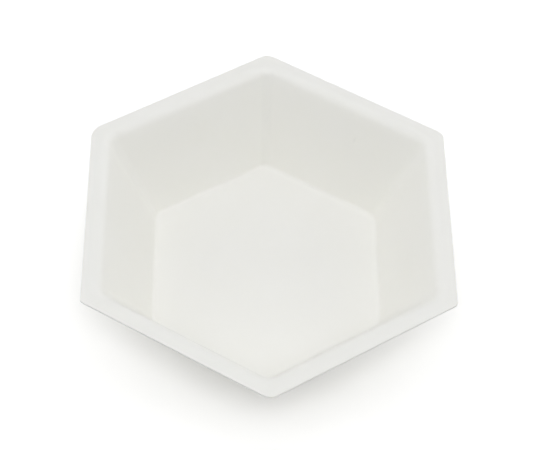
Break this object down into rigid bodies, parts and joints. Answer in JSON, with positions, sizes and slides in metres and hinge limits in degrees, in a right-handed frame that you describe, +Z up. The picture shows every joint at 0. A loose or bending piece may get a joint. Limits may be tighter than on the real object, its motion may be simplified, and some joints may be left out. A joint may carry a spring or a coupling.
{
  "type": "weighing boat",
  "caption": "Hexagonal plastic weighing boat: a flat floor, flared flat walls with round corners and a narrow flat flange at the rim.",
  "frame": {"origin": "under the middle of the floor, on the surface that the boat rests on", "axes": "+Z up out of the mouth, +Y and -Y towards two opposite corners of the hexagon with -Y the front, +X to the right towards the middle of a side"},
  "size_m": [0.08, 0.0914, 0.022],
  "materials": {
    "formed_sheet": "satin, formed from slightly warm white sheet"
  },
  "bodies": {
    "root": {"weighing_boat": "formed_sheet"}
  },
  "joints": []
}
